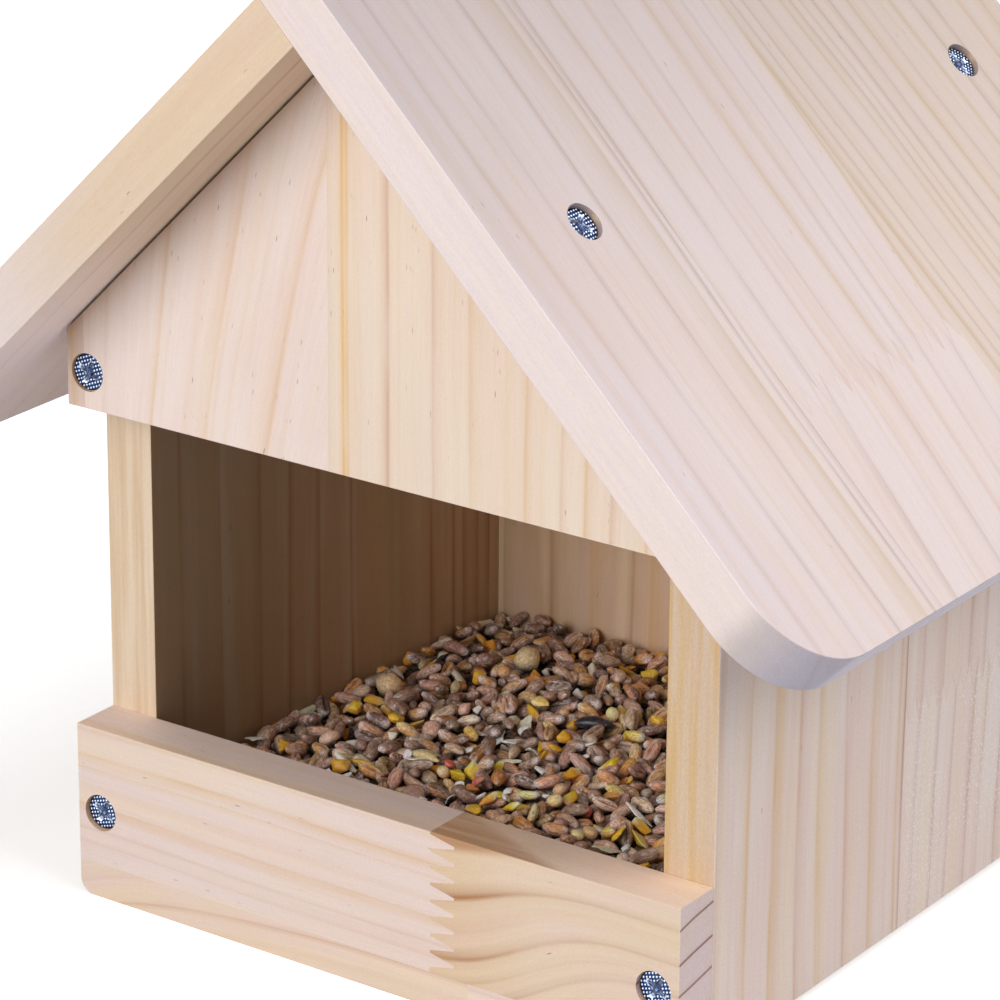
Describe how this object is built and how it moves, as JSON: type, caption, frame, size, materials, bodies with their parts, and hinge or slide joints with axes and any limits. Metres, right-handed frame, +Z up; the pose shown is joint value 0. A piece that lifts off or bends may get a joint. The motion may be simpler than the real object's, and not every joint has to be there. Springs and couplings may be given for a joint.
{
  "type": "bird feeder",
  "caption": "Open-fronted gable-roofed bird feeder of screwed pine boards, with a finger-jointed lip that holds in a bed of mixed seed.",
  "frame": {"origin": "under the middle of the roof, on the surface the feeder stands on", "axes": "+X across the open front to the right as seen from the front, +Y from the open front to the back wall, +Z up"},
  "size_m": [0.2354, 0.1946, 0.2222],
  "materials": {
    "pine_board": "planed and sanded, unvarnished",
    "pine_pale_stave": "planed and sanded, unvarnished",
    "pine_tan_stave": "planed and sanded, unvarnished",
    "pine_roof": "planed and sanded, unvarnished",
    "zinc_screw": "bright zinc plate with a blue tint",
    "mixed_seed": "dry seed, dull to slightly glossy"
  },
  "bodies": {
    "root": {"left_side_wall": "pine_board", "right_side_wall": "pine_board", "back_wall": "pine_board", "floor_board": "pine_board", "front_gable": "pine_board", "lip_left_stave": "pine_pale_stave", "lip_right_stave": "pine_tan_stave", "lip_lower_left_strip": "pine_tan_stave", "lip_lower_right_strip": "pine_pale_stave", "roof_left_panel": "pine_roof", "roof_right_panel": "pine_roof", "gable_screws": "zinc_screw", "lip_screws": "zinc_screw", "back_wall_screws": "zinc_screw", "roof_left_screws": "zinc_screw", "roof_right_screws": "zinc_screw", "seed_fill": "mixed_seed"}
  },
  "joints": []
}
